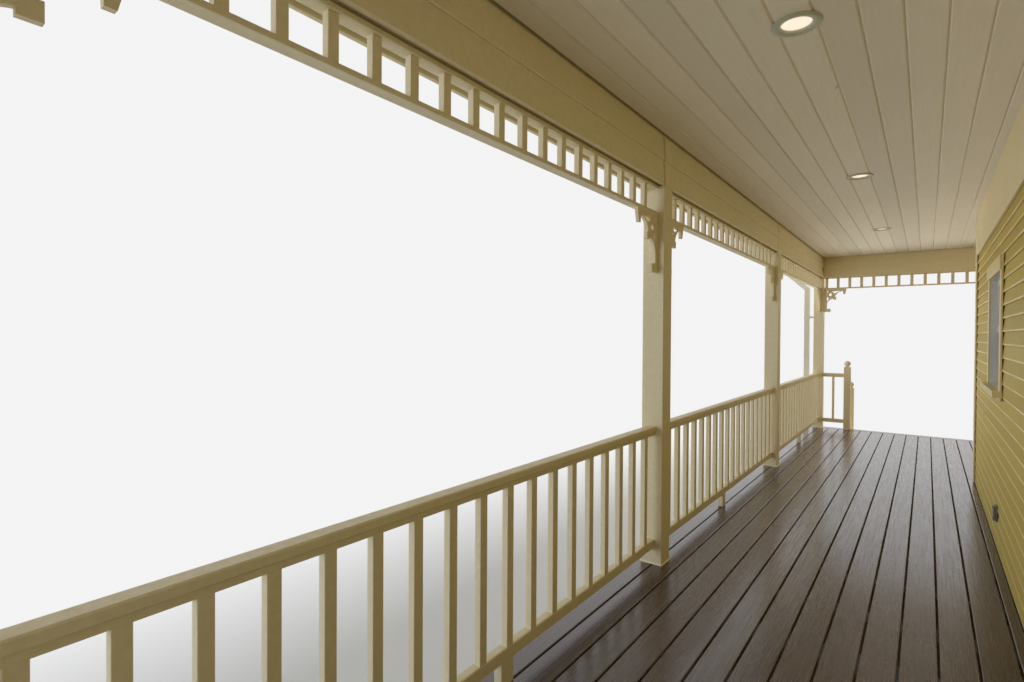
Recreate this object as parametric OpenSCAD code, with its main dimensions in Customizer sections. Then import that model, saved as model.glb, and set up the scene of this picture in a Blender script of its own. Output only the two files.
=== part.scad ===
// Front porch of a timber house: three bays along the house's front wall, a deeper last bay with
// steps at its far end, and a lean-to roof. Millimetres, Z up from the ground, X along the porch.
// Inside the modules x runs from the first post's outer face, y from the front wall's siding face.

/* [Layout] */
// Distance from one post to the next
bay_pitch = 3372; // [3000:1:4000]
// Clear width from the wall to the posts
walk_w = 1747; // [1400:1:2400]
// Length of the front wall up to its corner
front_run = 7412; // [6800:1:8600]
// Depth by which the wall steps back in the last bay
recess_d = 990; // [700:1:1400]
// Height of the deck's walking surface
deck_h = 550; // [420:1:760]
// Height from the deck to the ceiling
ceiling_h = 2755; // [2500:1:3100]

/* [Posts and beams] */
// Side of a square post
post_w = 140; // [110:1:190]
// Height of the beam that shows under the ceiling
beam_drop = 318; // [200:1:420]
// Distance of the deck's edge beyond the posts
deck_out = 58; // [40:1:90]

/* [Frieze] */
// Height of the frieze below the beam
frieze_h = 187; // [140:1:260]
// Width of a frieze rail
frieze_rail_w = 56; // [44:1:90]
// Thickness of a frieze rail
frieze_rail_t = 19; // [12:1:30]
// Width of a frieze slat
slat_w = 38; // [25:1:45]
// Thickness of a frieze slat
slat_t = 28; // [18:1:40]
// Distance from one slat to the next
slat_pitch = 159.3; // [110:0.1:220]
// Distance from a post to the middle of the first slat
slat_lead = 37; // [25:1:80]
// Distance of frieze rails and brackets behind the posts' inner faces
frieze_in = 38; // [20:1:50]

/* [Brackets] */
// Length of a bracket along the frieze
bracket_l = 311; // [260:1:380]
// Height of a bracket along the post
bracket_h = 374; // [320:1:440]
// Thickness of a bracket
bracket_t = 20; // [16:1:45]
// Width of the bracket's leg
fret_w = 44; // [30:1:54]

/* [Railing] */
// Height of the rail's cap above the deck
rail_h = 892; // [800:1:1070]
// Width of the cap
cap_w = 64; // [50:1:100]
// Thickness of the cap
cap_t = 34; // [25:1:50]
// Thickness of the rail under the cap
subrail_t = 24; // [15:1:40]
// Underside of the bottom rail above the deck
rail_clear = 102; // [60:1:130]
// Height of the bottom rail
bottom_rail_h = 58; // [40:1:90]
// Width of the rails between the posts, under the cap
rail_w = 42; // [32:1:50]
// Width of a baluster along the rail
baluster_w = 43; // [36:1:52]
// Thickness of a baluster across the rail
baluster_t = 30; // [22:1:38]
// Distance from one baluster to the next
baluster_pitch = 175; // [130:1:200]
// Places of the foot blocks, each as a share of its bay's clear width
block_share = [0.522, 0.433, 0.5]; // [0.1:0.001:0.9]
// Distance of the railing outside the posts' middle
rail_offset = 0; // [-20:1:20]

/* [Newels and stair] */
// Side of a newel
newel_w = 89; // [80:1:120]
// Height of a newel's shaft above the deck
newel_h = 998; // [940:1:1150]
// Diameter of the ball on a newel
ball_d = 90; // [70:1:110]
// Length of the short end railings
short_rail = 295; // [200:1:420]
// Number of risers from the ground to the deck
risers = 3; // [3:1:4]
// Depth of one step
step_run = 280; // [250:1:320]
// Thickness of a tread
tread_t = 38; // [25:1:45]
// Overhang of a tread beyond its riser
nosing = 25; // [15:1:35]

/* [Deck] */
// Thickness of the deck boards
board_t = 25; // [20:1:40]
// Overhang of the deck beyond its rim
deck_nose = 25; // [10:1:38]
// Depth of the rim and floor joists
joist_h = 184; // [140:1:235]
// Thickness of a joist
joist_t = 38; // [35:1:50]
// Widest distance from one joist to the next
joist_pitch = 610; // [400:1:700]
// Side of a concrete footing
footing_w = 300; // [240:1:400]

/* [Roof] */
// Rise of the roof for each unit of run
slope = 0.25; // [0.2:0.01:0.4]
// Distance of the fascia beyond the beam
eave_out = 388; // [300:1:500]
// Distance of the roof's ends beyond the end posts
rake_out = 300; // [200:1:400]
// Thickness of sheathing and shingles
roof_t = 34; // [25:1:50]
// Depth of a rafter
rafter_h = 140; // [120:1:190]
// Length of a rafter's level seat on the beam
seat_l = 90; // [60:1:120]
// Widest distance from one rafter to the next
rafter_pitch = 610; // [400:1:700]
// Thickness of fascia and rake boards
fascia_t = 19; // [15:1:30]
// Height of the fascia
fascia_h = 184; // [140:1:235]
// Thickness of ceiling and soffit boards
lining_t = 19; // [10:1:25]
// Width of the gutter
gutter_w = 125; // [100:1:150]
// Height of the gutter
gutter_h = 110; // [90:1:140]
// Wall of the gutter
gutter_wall = 3; // [2:1:5]
// Width of the downspout
spout_w = 95; // [70:1:110]
// Depth of the downspout
spout_d = 72; // [60:1:90]

/* [House wall] */
// Thickness of the wall with its siding
wall_t = 160; // [140:1:240]
// Height of the wall above the roof's upper edge
wall_over = 60; // [40:1:200]
// Height of the smooth board under the ceiling
wall_board_h = 439; // [300:1:520]
// Width of a corner board
corner_w = 95; // [70:1:140]
// Thickness of corner boards and casings on the wall
trim_t = 12; // [8:1:20]
// Thickness of the smooth board under the ceiling
wall_board_t = 8; // [5:1:8]
// Height of an outlet cover on the wall
outlet_h = 110; // [90:1:140]
// Place of the outlet cover along the wall
outlet_x = 5117; // [4000:1:6500]

/* [Window] */
// Middle of the window along the wall
win_x = 5422; // [4800:1:6200]
// Clear width between the casings
win_w = 800; // [600:1:1000]
// Clear height between sill and head casing
win_h = 820; // [700:1:1000]
// Top of the sill above the deck
sill_z = 1115; // [900:1:1200]
// Width of the casing
casing_w = 92; // [70:1:120]
// Width of a sash's stiles and rails
sash_w = 48; // [35:1:70]

/* [Lights] */
// Distance of the first light from the first post
light_x = 2504; // [1800:1:3000]
// Distance of the last light from the far end's beam
light_end = 2312; // [1800:1:3000]
// Distance of the lights from the front wall
light_y = 845; // [600:1:1100]
// Diameter of a light's trim ring
light_d = 190; // [140:1:220]

/* [Hidden] */
$fn = 48;
bays = 3;
cut = 1;
trim_c = [0.80, 0.70, 0.50];
wall_c = [0.86, 0.78, 0.52];
deck_c = [0.30, 0.24, 0.22];
roof_c = [0.35, 0.33, 0.32];
glass_c = [0.12, 0.15, 0.16];
stone_c = [0.62, 0.61, 0.58];
white_c = [0.92, 0.91, 0.88];

// Lengths along the porch
last_x = bays * bay_pitch;
end_x = last_x + post_w;
bay_clear = bay_pitch - post_w;
// Widths, from the siding face
post_y = walk_w;
beam_y1 = post_y + post_w;
rail_y = post_y + post_w / 2 + rail_offset;
deck_y1 = beam_y1 + deck_out;
fascia_y = beam_y1 + eave_out;
// Heights
joist_z = deck_h - board_t;
footing_z = joist_z - joist_h;
ceiling_z = deck_h + ceiling_h;
beam_z = ceiling_z - beam_drop;
frieze_z = beam_z - frieze_h;
// Roof: the soffit stands this much above the fascia's lower edge
fascia_drop = 34;
soffit_z = ceiling_z + lining_t;
eave_z = ceiling_z + fascia_h - fascia_drop;
function rafter_z(y) = eave_z + (fascia_y - y) * slope;
rafter_v = rafter_h * sqrt(1 + slope * slope);
roof_v = roof_t * sqrt(1 + slope * slope);
seat_y = beam_y1 - seat_l;
beam_top = rafter_z(seat_y) - rafter_v;
wall_top = rafter_z(-recess_d) + roof_v + wall_over;
// Far end: short railings, newels and the stair between them
end_mid_y = (post_y - recess_d + post_w) / 2;
newel_x = last_x + newel_w / 2;
newel_y = post_y - short_rail - newel_w / 2;
newel_y2 = 2 * end_mid_y - newel_y;
rise = deck_h / risers;
riser_t = 19;
stair_end = end_x + (risers - 1) * step_run;
stair_post_x = stair_end - step_run / 2;
// Whole part, for its origin in the middle of the base
x_low = -rake_out - fascia_t;
x_high = max(stair_end + riser_t + nosing, end_x + rake_out + fascia_t);
y_low = -recess_d - wall_t;
y_high = fascia_y + gutter_w;

module site() {
    translate([-(x_low + x_high) / 2, -(y_low + y_high) / 2, 0]) children();
}

module box(x0, y0, z0, x1, y1, z1) {
    translate([x0, y0, z0]) cube([x1 - x0, y1 - y0, z1 - z0]);
}

// A profile drawn in y and z, swept from x0 to x1
module sweep_x(x0, x1) {
    translate([x0, 0, 0]) rotate([90, 0, 90]) linear_extrude(x1 - x0) children();
}

// A profile drawn in x and z, swept from y0 to y1
module sweep_y(y0, y1) {
    translate([0, y1, 0]) rotate([90, 0, 0]) linear_extrude(y1 - y0) children();
}

// Footings under the posts and under the far newel, flush with the rim
rim_y1 = deck_y1 - deck_nose;
module footing(x, y) {
    x_mid = min(max(x, footing_w / 2), end_x - footing_w / 2);
    box(x_mid - footing_w / 2, y, 0, x_mid + footing_w / 2, y + footing_w, footing_z);
}
module footings() color(stone_c) site() {
    for (i = [0 : bays])
        footing(i * bay_pitch + post_w / 2, rim_y1 - footing_w);
    footing(end_x, newel_y2 - footing_w / 2);
}

// Doubled front rim, end rims, and the ledgers on the three pieces of wall
rim_y0 = rim_y1 - 2 * joist_t;
module rim_joists() color(trim_c) site() {
    box(0, rim_y0, footing_z, end_x, rim_y1, joist_z);
    box(0, 0, footing_z, joist_t, rim_y1, joist_z);
    box(end_x - joist_t, -recess_d, footing_z, end_x, rim_y1, joist_z);
    box(0, 0, footing_z, front_run + joist_t, joist_t, joist_z);
    box(front_run, -recess_d, footing_z, front_run + joist_t, joist_t, joist_z);
    box(front_run, -recess_d, footing_z, end_x, joist_t - recess_d, joist_z);
}

// Joists under each inner post and evenly between them
joist_n = ceil(bay_pitch / joist_pitch);
module floor_joists() color(trim_c) site() {
    for (i = [1 : bays * joist_n - 1]) {
        x = (post_w - joist_t) / 2 + i * bay_pitch / joist_n;
        y0 = joist_t - (x >= front_run + joist_t ? recess_d : 0);
        box(x, y0, footing_z, x + joist_t, rim_y0, joist_z);
    }
}

module deck() color(deck_c) site() {
    box(-deck_nose, 0, joist_z, end_x + deck_nose, deck_y1, deck_h);
    box(front_run, -recess_d, joist_z, end_x + deck_nose, deck_y1, deck_h);
}

// Posts, from the deck to the beam
module post(x, y) {
    box(x, y, deck_h, x + post_w, y + post_w, beam_z);
}
module post_1() color(trim_c) site() post(0, post_y);
module post_2() color(trim_c) site() post(bay_pitch, post_y);
module post_3() color(trim_c) site() post(2 * bay_pitch, post_y);
module post_4() color(trim_c) site() post(last_x, post_y);
module wall_posts() color(trim_c) site() {
    post(0, 0);
    post(last_x, -recess_d);
}

// Boxed beams: their upper part is hidden behind the ceiling, their outer board comes down between the posts
lip_t = 19;
module front_beam() color(trim_c) site() {
    box(0, post_y, beam_z, end_x, beam_y1, beam_top);
    for (i = [0 : bays - 1])
        box(i * bay_pitch + post_w, beam_y1 - lip_t, beam_z - frieze_rail_t,
            (i + 1) * bay_pitch, beam_y1, beam_z + frieze_rail_t);
}
module end_beams() color(trim_c) site() {
    box(0, 0, beam_z, post_w, post_y, beam_top);
    box(last_x, -recess_d, beam_z, end_x, post_y, beam_top);
}

// Frieze: two flat rails with slats between them, drawn along x from 0 to length, inner side at small y
slat_in = 13;
module frieze(length) {
    n = floor((length - slat_lead - slat_w / 2) / slat_pitch);
    rail_y0 = frieze_in;
    rail_y1 = frieze_in + frieze_rail_w;
    slat_y0 = frieze_in + slat_in;
    slat_y1 = slat_y0 + slat_t;
    box(0, rail_y0, beam_z - frieze_rail_t, length, rail_y1, beam_z);
    box(0, rail_y0, frieze_z, length, rail_y1, frieze_z + frieze_rail_t);
    for (i = [0 : n]) {
        x = slat_lead + i * slat_pitch;
        box(x - slat_w / 2, slat_y0, frieze_z + frieze_rail_t / 2,
            x + slat_w / 2, slat_y1, beam_z - frieze_rail_t / 2);
    }
}
module frieze_in_bay(i) {
    translate([i * bay_pitch + post_w, post_y, 0]) frieze(bay_clear);
}
module frieze_1() color(trim_c) site() frieze_in_bay(0);
module frieze_2() color(trim_c) site() frieze_in_bay(1);
module frieze_3() color(trim_c) site() frieze_in_bay(2);
module end_friezes() color(trim_c) site() {
    translate([post_w, post_w, 0]) rotate([0, 0, 90]) frieze(post_y - post_w);
    translate([last_x, post_y, 0]) rotate([0, 0, -90]) frieze(post_y + recess_d - post_w);
}

// Scroll-work bracket, drawn in x and z from the corner of post and frieze
arm_h = 0.86 * fret_w;
ring_r = 0.18 * bracket_l;
ring_at = fret_w + ring_r - 8;
scallop_r = 0.33 * bracket_l;
scallop_x = 0.83 * bracket_l;
scallop_z = fret_w + scallop_r;
point_at = 0.555 * bracket_l;
point_w = 0.14 * bracket_l;
drop_l = 0.29 * bracket_l;
drop_w = 0.08 * bracket_l;
foot_r = 0.078 * bracket_h;
module both_sides() {
    children();
    mirror([1, 1]) children();
}
module bracket_outline() {
    w = fret_w;
    // leg with a lobe at its foot
    translate([0, w / 2 - bracket_h]) square([w, bracket_h - w / 2]);
    translate([w / 2, w / 2 - bracket_h]) circle(w / 2);
    translate([w + 0.9 * foot_r, foot_r - bracket_h]) circle(foot_r);
    // arm with a drop at its tip
    polygon([[0, 0], [bracket_l, 0], [bracket_l, -w / 2], [bracket_l - 0.7 * drop_w, -drop_l],
        [bracket_l - 1.7 * drop_w, -drop_l], [bracket_l - 1.8 * drop_w, -arm_h], [0, -arm_h]]);
    // brace under two scallops, with a square point between them and a ring in the corner
    difference() {
        both_sides() polygon([[0.89 * bracket_l, -w / 2], [ring_at, -ring_at], [scallop_z, -scallop_z],
            [scallop_x, -scallop_z], [scallop_x, -w / 2]]);
        both_sides() translate([scallop_x, -scallop_z]) circle(scallop_r);
        translate([ring_at, -ring_at]) circle(ring_r / 3);
    }
    translate([point_at - point_w, -point_at]) square(point_w);
    translate([ring_at, -ring_at]) difference() {
        circle(ring_r);
        circle(0.38 * ring_r);
    }
}
module bracket() {
    sweep_y(frieze_in, frieze_in + bracket_t) translate([0, frieze_z]) bracket_outline();
}
module front_brackets() color(trim_c) site() {
    for (i = [0 : bays - 1]) translate([i * bay_pitch, post_y, 0]) {
        translate([post_w, 0, 0]) bracket();
        translate([bay_pitch, 0, 0]) mirror([1, 0, 0]) bracket();
    }
}
module end_bracket_pair(y_in) {
    translate([0, post_y, 0]) rotate([0, 0, -90]) bracket();
    translate([0, y_in + post_w, 0]) rotate([0, 0, 90]) mirror([0, 1, 0]) bracket();
}
module end_brackets() color(trim_c) site() {
    translate([post_w, 0, 0]) mirror([1, 0, 0]) end_bracket_pair(0);
    translate([last_x, 0, 0]) end_bracket_pair(-recess_d);
}

// Railing panel along x with its middle at y = 0 and its balusters flush at the inner face.
// The balusters leave equal gaps at the two ends; foot blocks stand at the given shares of the length.
function baluster_n(length) = max(floor(length / baluster_pitch), 1);
function baluster_x(length, i) = (length - baluster_w + (2 * i + 1 - baluster_n(length)) * baluster_pitch) / 2;
module railing(length, shares) {
    half = rail_w / 2;
    z0 = deck_h + rail_clear;
    z1 = z0 + bottom_rail_h;
    z3 = deck_h + rail_h - cap_t;
    z2 = z3 - subrail_t;
    box(0, -cap_w / 2, z3, length, cap_w / 2, z3 + cap_t);
    box(0, -half, z2, length, half, z3 + cap_t / 2);
    box(0, -half, z0, length, half, z1);
    for (i = [0 : baluster_n(length) - 1]) {
        x = baluster_x(length, i);
        box(x, -half, z1 - bottom_rail_h / 2, x + baluster_w, baluster_t - half, z2 + subrail_t / 2);
    }
    for (share = shares) {
        x = share * length;
        box(x - baluster_w, -half, deck_h, x + baluster_w, half, z1 - bottom_rail_h / 2);
    }
}
module railing_in_bay(i) {
    translate([i * bay_pitch + post_w, rail_y, 0]) railing(bay_clear, [block_share[i]]);
}
module railing_1() color(trim_c) site() railing_in_bay(0);
module railing_2() color(trim_c) site() railing_in_bay(1);
module railing_3() color(trim_c) site() railing_in_bay(2);
module railing_near() color(trim_c) site() {
    translate([post_w / 2 - rail_offset, post_w, 0]) rotate([0, 0, 90]) railing(post_y - post_w, [0.5]);
}
module railing_far() color(trim_c) site() {
    translate([newel_x, post_y, 0]) rotate([0, 0, -90]) railing(short_rail, []);
    translate([newel_x, post_w - recess_d, 0]) rotate([0, 0, 90]) mirror([0, 1, 0]) railing(short_rail, []);
}

// Newels with a neck and a ball, on the deck and on the lowest tread
neck_d = 0.62 * newel_w;
neck_h = 12;
module newel(x, y, z0) {
    translate([x, y, z0]) {
        box(-newel_w / 2, -newel_w / 2, 0, newel_w / 2, newel_w / 2, newel_h);
        translate([0, 0, newel_h]) cylinder(h = 2 * neck_h, d = neck_d);
        translate([0, 0, newel_h + neck_h + 0.45 * ball_d]) sphere(d = ball_d);
    }
}
module newels() color(trim_c) site() {
    newel(newel_x, newel_y, deck_h);
    newel(newel_x, newel_y2, deck_h);
}
module stair_posts() color(trim_c) site() {
    newel(stair_post_x, newel_y, rise);
    newel(stair_post_x, newel_y2, rise);
}

// Sloping railing from the deck's newel down to the stair post
low_rail_drop = 695;
module sloped_rail(y, half_w, drop, h) {
    x0 = newel_x + newel_w / 2;
    x1 = stair_post_x - newel_w / 2;
    z0 = stair_line(x0) - drop;
    z1 = stair_line(x1) - drop;
    sweep_y(y - half_w, y + half_w) polygon([[x0, z0], [x1, z1], [x1, z1 - h], [x0, z0 - h]]);
}
function stair_line(x) =
    deck_h + rail_h - (x - newel_x - newel_w / 2) * (deck_h - rise) / (stair_post_x - newel_x);
module stair_railing(y) {
    x0 = newel_x + newel_w / 2;
    length = stair_post_x - newel_x - newel_w;
    sloped_rail(y, cap_w / 2, 0, cap_t);
    sloped_rail(y, rail_w / 2, low_rail_drop, bottom_rail_h);
    for (i = [0 : baluster_n(length) - 1]) {
        x = x0 + baluster_x(length, i) + baluster_w;
        box(x - baluster_w, y - baluster_t / 2, stair_line(x) - low_rail_drop - bottom_rail_h / 2,
            x, y + baluster_t / 2, stair_line(x) - cap_t / 2);
    }
}
module stair_railings() color(trim_c) site() {
    stair_railing(newel_y);
    stair_railing(newel_y2);
}

// Cut stringer: level and plumb notches above, a straight slope below
toe_l = 200;
module stringer(y) {
    heel_x = stair_end - toe_l;
    notches = [for (i = [1 : risers - 1]) each [
        [end_x + (i - 1) * step_run, deck_h - i * rise - tread_t],
        [end_x + i * step_run, deck_h - i * rise - tread_t]]];
    sweep_y(y - joist_t / 2, y + joist_t / 2)
        polygon(concat([[end_x, (heel_x - end_x) * rise / step_run]], notches, [[stair_end, 0], [heel_x, 0]]));
}
module stair_stringers() color(trim_c) site() {
    for (y = [newel_y, end_mid_y, newel_y2]) stringer(y);
}

stair_y0 = newel_y2 - newel_w / 2;
stair_y1 = newel_y + newel_w / 2;
module stair_treads() color(deck_c) site() {
    for (i = [1 : risers - 1])
        box(end_x + (i == 1 ? 0 : (i - 1) * step_run + riser_t), stair_y0 - nosing, deck_h - i * rise - tread_t,
            end_x + i * step_run + riser_t + nosing, stair_y1 + nosing, deck_h - i * rise);
}

// Boards that close the steps, on the stringers' plumb cuts
module stair_risers() color(trim_c) site() {
    for (i = [1 : risers - 1])
        box(end_x + i * step_run, stair_y0, deck_h - (i + 1) * rise,
            end_x + i * step_run + riser_t, stair_y1, deck_h - i * rise - tread_t);
}

// Ceiling between the beams and the wall, cut out for the lights
lights = 3;
light_pitch = (last_x - light_x - light_end) / (lights - 1);
light_rim = 20;
module ceiling() color(trim_c) site() difference() {
    union() {
        box(post_w, 0, ceiling_z, last_x, post_y, soffit_z);
        box(front_run, -recess_d, ceiling_z, last_x, post_y, soffit_z);
    }
    for (i = [0 : lights - 1])
        translate([light_x + i * light_pitch, light_y, ceiling_z - cut])
            cylinder(h = lining_t + 2 * cut, r = light_d / 2 - light_rim);
}

// Recessed light: a domed ring, its can and a flat lens, in one turned profile
lens_r = 50;
lens_z = 30;
lens_t = 8;
light_lip = 8;
module ceiling_lights() color(white_c) site() {
    r = light_d / 2;
    for (i = [0 : lights - 1]) translate([light_x + i * light_pitch, light_y, ceiling_z])
        rotate_extrude() polygon([
            [0, lens_z], [lens_r, lens_z], [lens_r, lens_z / 2], [r - 3 * light_lip, -light_lip / 2], [r - light_lip, -light_lip], [r, 0],
            [r - light_rim, 0], [r - light_rim, lens_z + lens_t], [0, lens_z + lens_t]]);
}

// Rafters with a level seat on the beam and their tails cut level over the soffit
rafter_n = ceil((end_x - joist_t) / rafter_pitch);
module rafters() color("burlywood") site() {
    y_out = fascia_y - fascia_t;
    for (i = [0 : rafter_n]) {
        x = i * (end_x - joist_t) / rafter_n;
        y_in = x >= front_run ? -recess_d : 0;
        difference() {
            sweep_x(x, x + joist_t) polygon([
                [y_in, rafter_z(y_in)], [y_out, rafter_z(y_out)], [y_out, rafter_z(y_out) - rafter_v],
                [beam_y1, rafter_z(beam_y1) - rafter_v], [beam_y1, beam_top], [seat_y, beam_top],
                [y_in, rafter_z(y_in) - rafter_v]]);
            box(x - cut, beam_y1 - cut, ceiling_z - joist_h, x + joist_t + cut, fascia_y, soffit_z);
        }
    }
}

// Sheathing and shingles in one slope, from the wall over the fascia
drip_l = 20;
module roof_plane(x0, x1, y_in) {
    y_out = fascia_y + drip_l;
    sweep_x(x0, x1) polygon([
        [y_in, rafter_z(y_in)], [y_out, rafter_z(y_out)],
        [y_out, rafter_z(y_out) + roof_v], [y_in, rafter_z(y_in) + roof_v]]);
}
module roof_slab() color(roof_c) site() {
    roof_plane(-rake_out, end_x + rake_out, 0);
    roof_plane(front_run, end_x + rake_out, -recess_d);
}

// Triangles that close the roof's two ends, over the end beams and over the soffit
module roof_end(x, y_in) {
    tail_y = min(fascia_y - fascia_t, fascia_y - (soffit_z + rafter_v - eave_z) / slope);
    sweep_x(x, x + joist_t) {
        polygon([[y_in, beam_top], [seat_y, beam_top], [y_in, rafter_z(y_in) - rafter_v]]);
        polygon([[beam_y1, soffit_z], [tail_y, soffit_z], [tail_y, rafter_z(tail_y) - rafter_v],
            [beam_y1, rafter_z(beam_y1) - rafter_v]]);
    }
}
module roof_ends() color(wall_c) site() {
    roof_end(0, 0);
    roof_end(end_x - joist_t, -recess_d);
}

module soffit() color(trim_c) site() {
    box(0, beam_y1, ceiling_z, end_x, fascia_y - fascia_t, soffit_z);
}

// Fascia along the eave and rake boards up both ends, as deep as slab and rafters
module fascia() color(trim_c) site() {
    z0 = eave_z - fascia_h;
    box(-rake_out, fascia_y - fascia_t, z0, end_x + rake_out, fascia_y, rafter_z(fascia_y));
    for (end = [[-rake_out - fascia_t, 0], [end_x + rake_out, -recess_d]])
        sweep_x(end[0], end[0] + fascia_t) polygon([
            [end[1], rafter_z(end[1]) + roof_v], [fascia_y, rafter_z(fascia_y) + roof_v],
            [fascia_y, z0], [fascia_y - fascia_h, z0],
            [fascia_y - 2 * fascia_h, rafter_z(fascia_y - 2 * fascia_h) - rafter_v],
            [end[1], rafter_z(end[1]) - rafter_v]]);
}

// Gutter of bent sheet with closed ends, hung on the fascia under the drip edge
gutter_gap = 12;
gutter_z = eave_z - gutter_h - gutter_gap;
gutter_out = [[0, 1], [0, 0], [0.72, 0], [0.78, 0.4], [1, 0.72], [1, 1]];
module gutter() color(white_c) site() translate([0, fascia_y, gutter_z]) {
    t = gutter_wall;
    outer = [for (p = gutter_out) [p[0] * gutter_w, p[1] * gutter_h]];
    inner = [[gutter_w - t, gutter_h], [gutter_w - t, 0.72 * gutter_h], [0.78 * gutter_w - t, 0.4 * gutter_h],
        [0.72 * gutter_w - t, t], [t, t], [t, gutter_h]];
    sweep_x(-rake_out, end_x + rake_out) polygon(concat(outer, inner));
    for (x = [-rake_out, end_x + rake_out - t]) sweep_x(x, x + t) polygon(outer);
}

// Downspout: an outlet, a slant back under the eave, a straight run, a kick at the foot, two straps
spout_x = last_x + post_w / 2;
spout_gap = 10;
spout_y0 = deck_y1 + spout_gap;
spout_foot = 60;
spout_kick = 90;
spout_slant = 0.93;
strap_h = 30;
strap_t = 4;
module downspout() color(white_c) site() {
    run_y1 = spout_y0 + spout_d;
    out_y0 = fascia_y + (0.72 * gutter_w - spout_d) / 2;
    z1 = frieze_z;
    z2 = z1 + (out_y0 - spout_y0) * spout_slant;
    z3 = spout_foot + spout_d;
    bend = spout_d * 0.4;
    sweep_x(spout_x - spout_w / 2, spout_x + spout_w / 2) polygon([
        [spout_y0, z3], [spout_y0, z1 + bend], [out_y0, z2 + bend], [out_y0, gutter_z],
        [out_y0 + spout_d, gutter_z], [out_y0 + spout_d, z2], [run_y1, z1], [run_y1, z3 + bend],
        [run_y1 + spout_kick, z3 + bend - spout_kick / 2], [run_y1 + spout_kick, z3 + bend - spout_kick / 2 - spout_d]]);
    for (z = [deck_h + rail_h / 2, deck_h + 2 * rail_h])
        box(spout_x - spout_w / 2 - strap_t, beam_y1, z, spout_x + spout_w / 2 + strap_t, run_y1 + strap_t, z + strap_h);
}

// House wall: three plain pieces round the recess, the window cut through the first
win_z0 = deck_h + sill_z;
win_z1 = win_z0 + win_h;
win_x0 = win_x - win_w / 2;
win_x1 = win_x + win_w / 2;
module front_wall() color(wall_c) site() difference() {
    box(0, -wall_t, 0, front_run, 0, wall_top);
    box(win_x0, -wall_t - cut, win_z0, win_x1, cut, win_z1);
}
module return_wall() color(wall_c) site() {
    box(front_run - wall_t, -recess_d, 0, front_run, -wall_t, wall_top);
}
module recess_wall() color(wall_c) site() {
    box(front_run - wall_t, -recess_d - wall_t, 0, end_x, -recess_d, wall_top);
}

// Smooth boards under the ceiling, and the boards of the house's corner
sided_top = ceiling_z - wall_board_h;
module wall_trim() color(trim_c) site() {
    box(post_w, 0, sided_top, front_run - corner_w, wall_board_t, ceiling_z);
    box(front_run, -recess_d, sided_top, front_run + wall_board_t, -corner_w, ceiling_z);
    box(front_run, -recess_d, sided_top, last_x, wall_board_t - recess_d, ceiling_z);
    box(front_run - corner_w, 0, deck_h, front_run + trim_t, trim_t, ceiling_z);
    box(front_run, -corner_w, deck_h, front_run + trim_t, trim_t, ceiling_z);
}

// Window casing with head, sill and apron
head_over = 12;
head_t = 22;
sill_t = 45;
sill_over = 20;
sill_out = 52;
apron_h = 22;
module window_casing() color(trim_c) site() {
    x0 = win_x0 - casing_w;
    x1 = win_x1 + casing_w;
    box(x0, 0, win_z0, win_x0, trim_t, win_z1);
    box(win_x1, 0, win_z0, x1, trim_t, win_z1);
    box(x0 - head_over, 0, win_z1, x1 + head_over, head_t, win_z1 + casing_w + head_over);
    box(x0 - sill_over, 0, win_z0 - sill_t, x1 + sill_over, sill_out, win_z0);
    box(x0, 0, win_z0 - sill_t - apron_h, x1, trim_t, win_z0 - sill_t);
}

// Lower sash inside, upper sash outside, each as [bottom, top, outer face]
sash_t = 34;
parting = 6;
sash_in = 40;
glass_t = 6;
meet_z = win_z0 + 0.52 * win_h;
sashes = [[win_z0, meet_z + sash_w / 2, -sash_in - sash_t - parting], [meet_z - sash_w / 2, win_z1, -sash_in]];
module window_sashes() color(white_c) site() {
    for (s = sashes) difference() {
        box(win_x0, s[2] - sash_t, s[0], win_x1, s[2], s[1]);
        box(win_x0 + sash_w, s[2] - sash_t - cut, s[0] + sash_w, win_x1 - sash_w, s[2] + cut, s[1] - sash_w);
    }
}
module window_glass() color(glass_c) site() {
    for (s = sashes) {
        y = s[2] - sash_t / 2;
        box(win_x0 + sash_w, y - glass_t / 2, s[0] + sash_w, win_x1 - sash_w, y + glass_t / 2, s[1] - sash_w);
    }
}

// Cover of a wall outlet, level with the lowest boards
outlet_w = 76;
outlet_t = 28;
outlet_z = 190;
module outlet_cover() color("gray") site() {
    box(outlet_x - outlet_w / 2, 0, deck_h + outlet_z, outlet_x + outlet_w / 2, outlet_t, deck_h + outlet_z + outlet_h);
}

footings();
rim_joists();
floor_joists();
deck();
post_1();
post_2();
post_3();
post_4();
wall_posts();
front_beam();
end_beams();
frieze_1();
frieze_2();
frieze_3();
end_friezes();
front_brackets();
end_brackets();
railing_1();
railing_2();
railing_3();
railing_near();
railing_far();
newels();
stair_posts();
stair_railings();
stair_stringers();
stair_treads();
stair_risers();
ceiling();
ceiling_lights();
rafters();
roof_slab();
roof_ends();
soffit();
fascia();
gutter();
downspout();
front_wall();
return_wall();
recess_wall();
wall_trim();
window_casing();
window_sashes();
window_glass();
outlet_cover();
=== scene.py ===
import bpy
import bmesh
import math
import random
from mathutils import Matrix, Vector


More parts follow.
